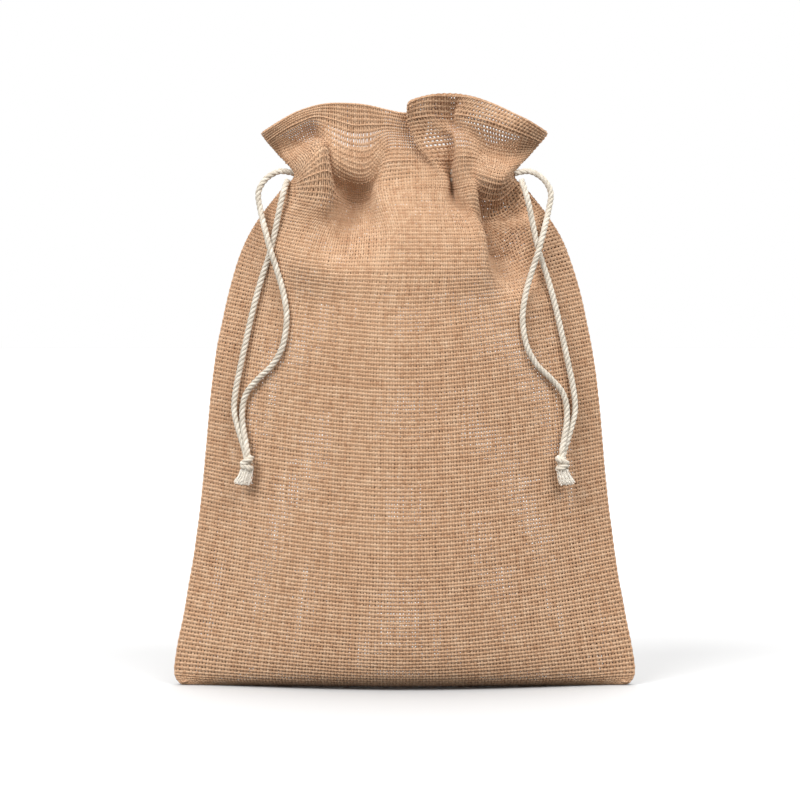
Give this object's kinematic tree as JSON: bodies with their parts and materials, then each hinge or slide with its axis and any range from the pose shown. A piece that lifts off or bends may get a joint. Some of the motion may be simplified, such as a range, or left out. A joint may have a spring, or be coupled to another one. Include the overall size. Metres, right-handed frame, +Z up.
{
  "type": "drawstring gift pouch",
  "caption": "Open-weave jute pouch standing upright, gathered shut at the neck by two knotted cotton cords, with a flared frill above.",
  "frame": {"origin": "middle of the base, on the surface the pouch stands on", "axes": "+Z up through the mouth, front with the hanging cords towards -Y, X across the panels"},
  "size_m": [0.2494, 0.0816, 0.3124],
  "materials": {
    "jute": "matte",
    "jute_inside": "matte",
    "cotton_cord": "matte",
    "sewing_thread": "matte"
  },
  "bodies": {
    "bag": {"back_panel_lower": "jute", "back_panel_upper": "jute", "front_panel_lower": "jute", "front_panel_upper": "jute", "left_side_seam": "jute_inside", "right_side_seam": "jute_inside", "bottom_seam": "jute_inside", "back_casing": "jute_inside", "back_casing_lower_thread": "sewing_thread", "back_casing_upper_thread": "sewing_thread", "back_hem_thread": "sewing_thread", "left_cord_front_run": "cotton_cord", "left_cord_back_run": "cotton_cord", "right_cord_front_run": "cotton_cord", "right_cord_back_run": "cotton_cord"},
    "front_lip": {"front_mouth": "jute", "front_casing": "jute_inside", "front_casing_lower_thread": "sewing_thread", "front_casing_upper_thread": "sewing_thread", "front_hem_thread": "sewing_thread", "left_cord_flap_run": "cotton_cord", "right_cord_flap_run": "cotton_cord"},
    "left_tail": {"left_outer_strand": "cotton_cord", "left_inner_strand": "cotton_cord"},
    "right_tail": {"right_outer_strand": "cotton_cord", "right_inner_strand": "cotton_cord"},
    "left_pull": {"left_knot": "cotton_cord"},
    "right_pull": {"right_knot": "cotton_cord"}
  },
  "joints": [
    {"name": "mouth_open", "type": "hinge", "parent": "bag", "child": "front_lip", "pos_m": [0, -0.0275, 0.236], "axis": [1, 0, 0], "range_deg": [0, 14]},
    {"name": "left_swing", "type": "hinge", "parent": "bag", "child": "left_tail", "pos_m": [-0.061, -0.004, 0.27], "axis": [0, 1, 0], "range_deg": [0, 35]},
    {"name": "right_swing", "type": "hinge", "parent": "bag", "child": "right_tail", "pos_m": [0.061, -0.004, 0.27], "axis": [0, -1, 0], "range_deg": [0, 35]},
    {"name": "left_draw", "type": "slide", "parent": "left_tail", "child": "left_pull", "axis": [0, 0, -1], "range_m": [-0.03, 0], "deforming": ["left_outer_strand", "left_inner_strand"]},
    {"name": "right_draw", "type": "slide", "parent": "right_tail", "child": "right_pull", "axis": [0, 0, -1], "range_m": [-0.03, 0], "deforming": ["right_outer_strand", "right_inner_strand"]}
  ],
  "couplings": [
    {"joint": "left_draw", "follows": "mouth_open", "m_per_rad": -0.12},
    {"joint": "right_draw", "follows": "mouth_open", "m_per_rad": -0.12}
  ]
}
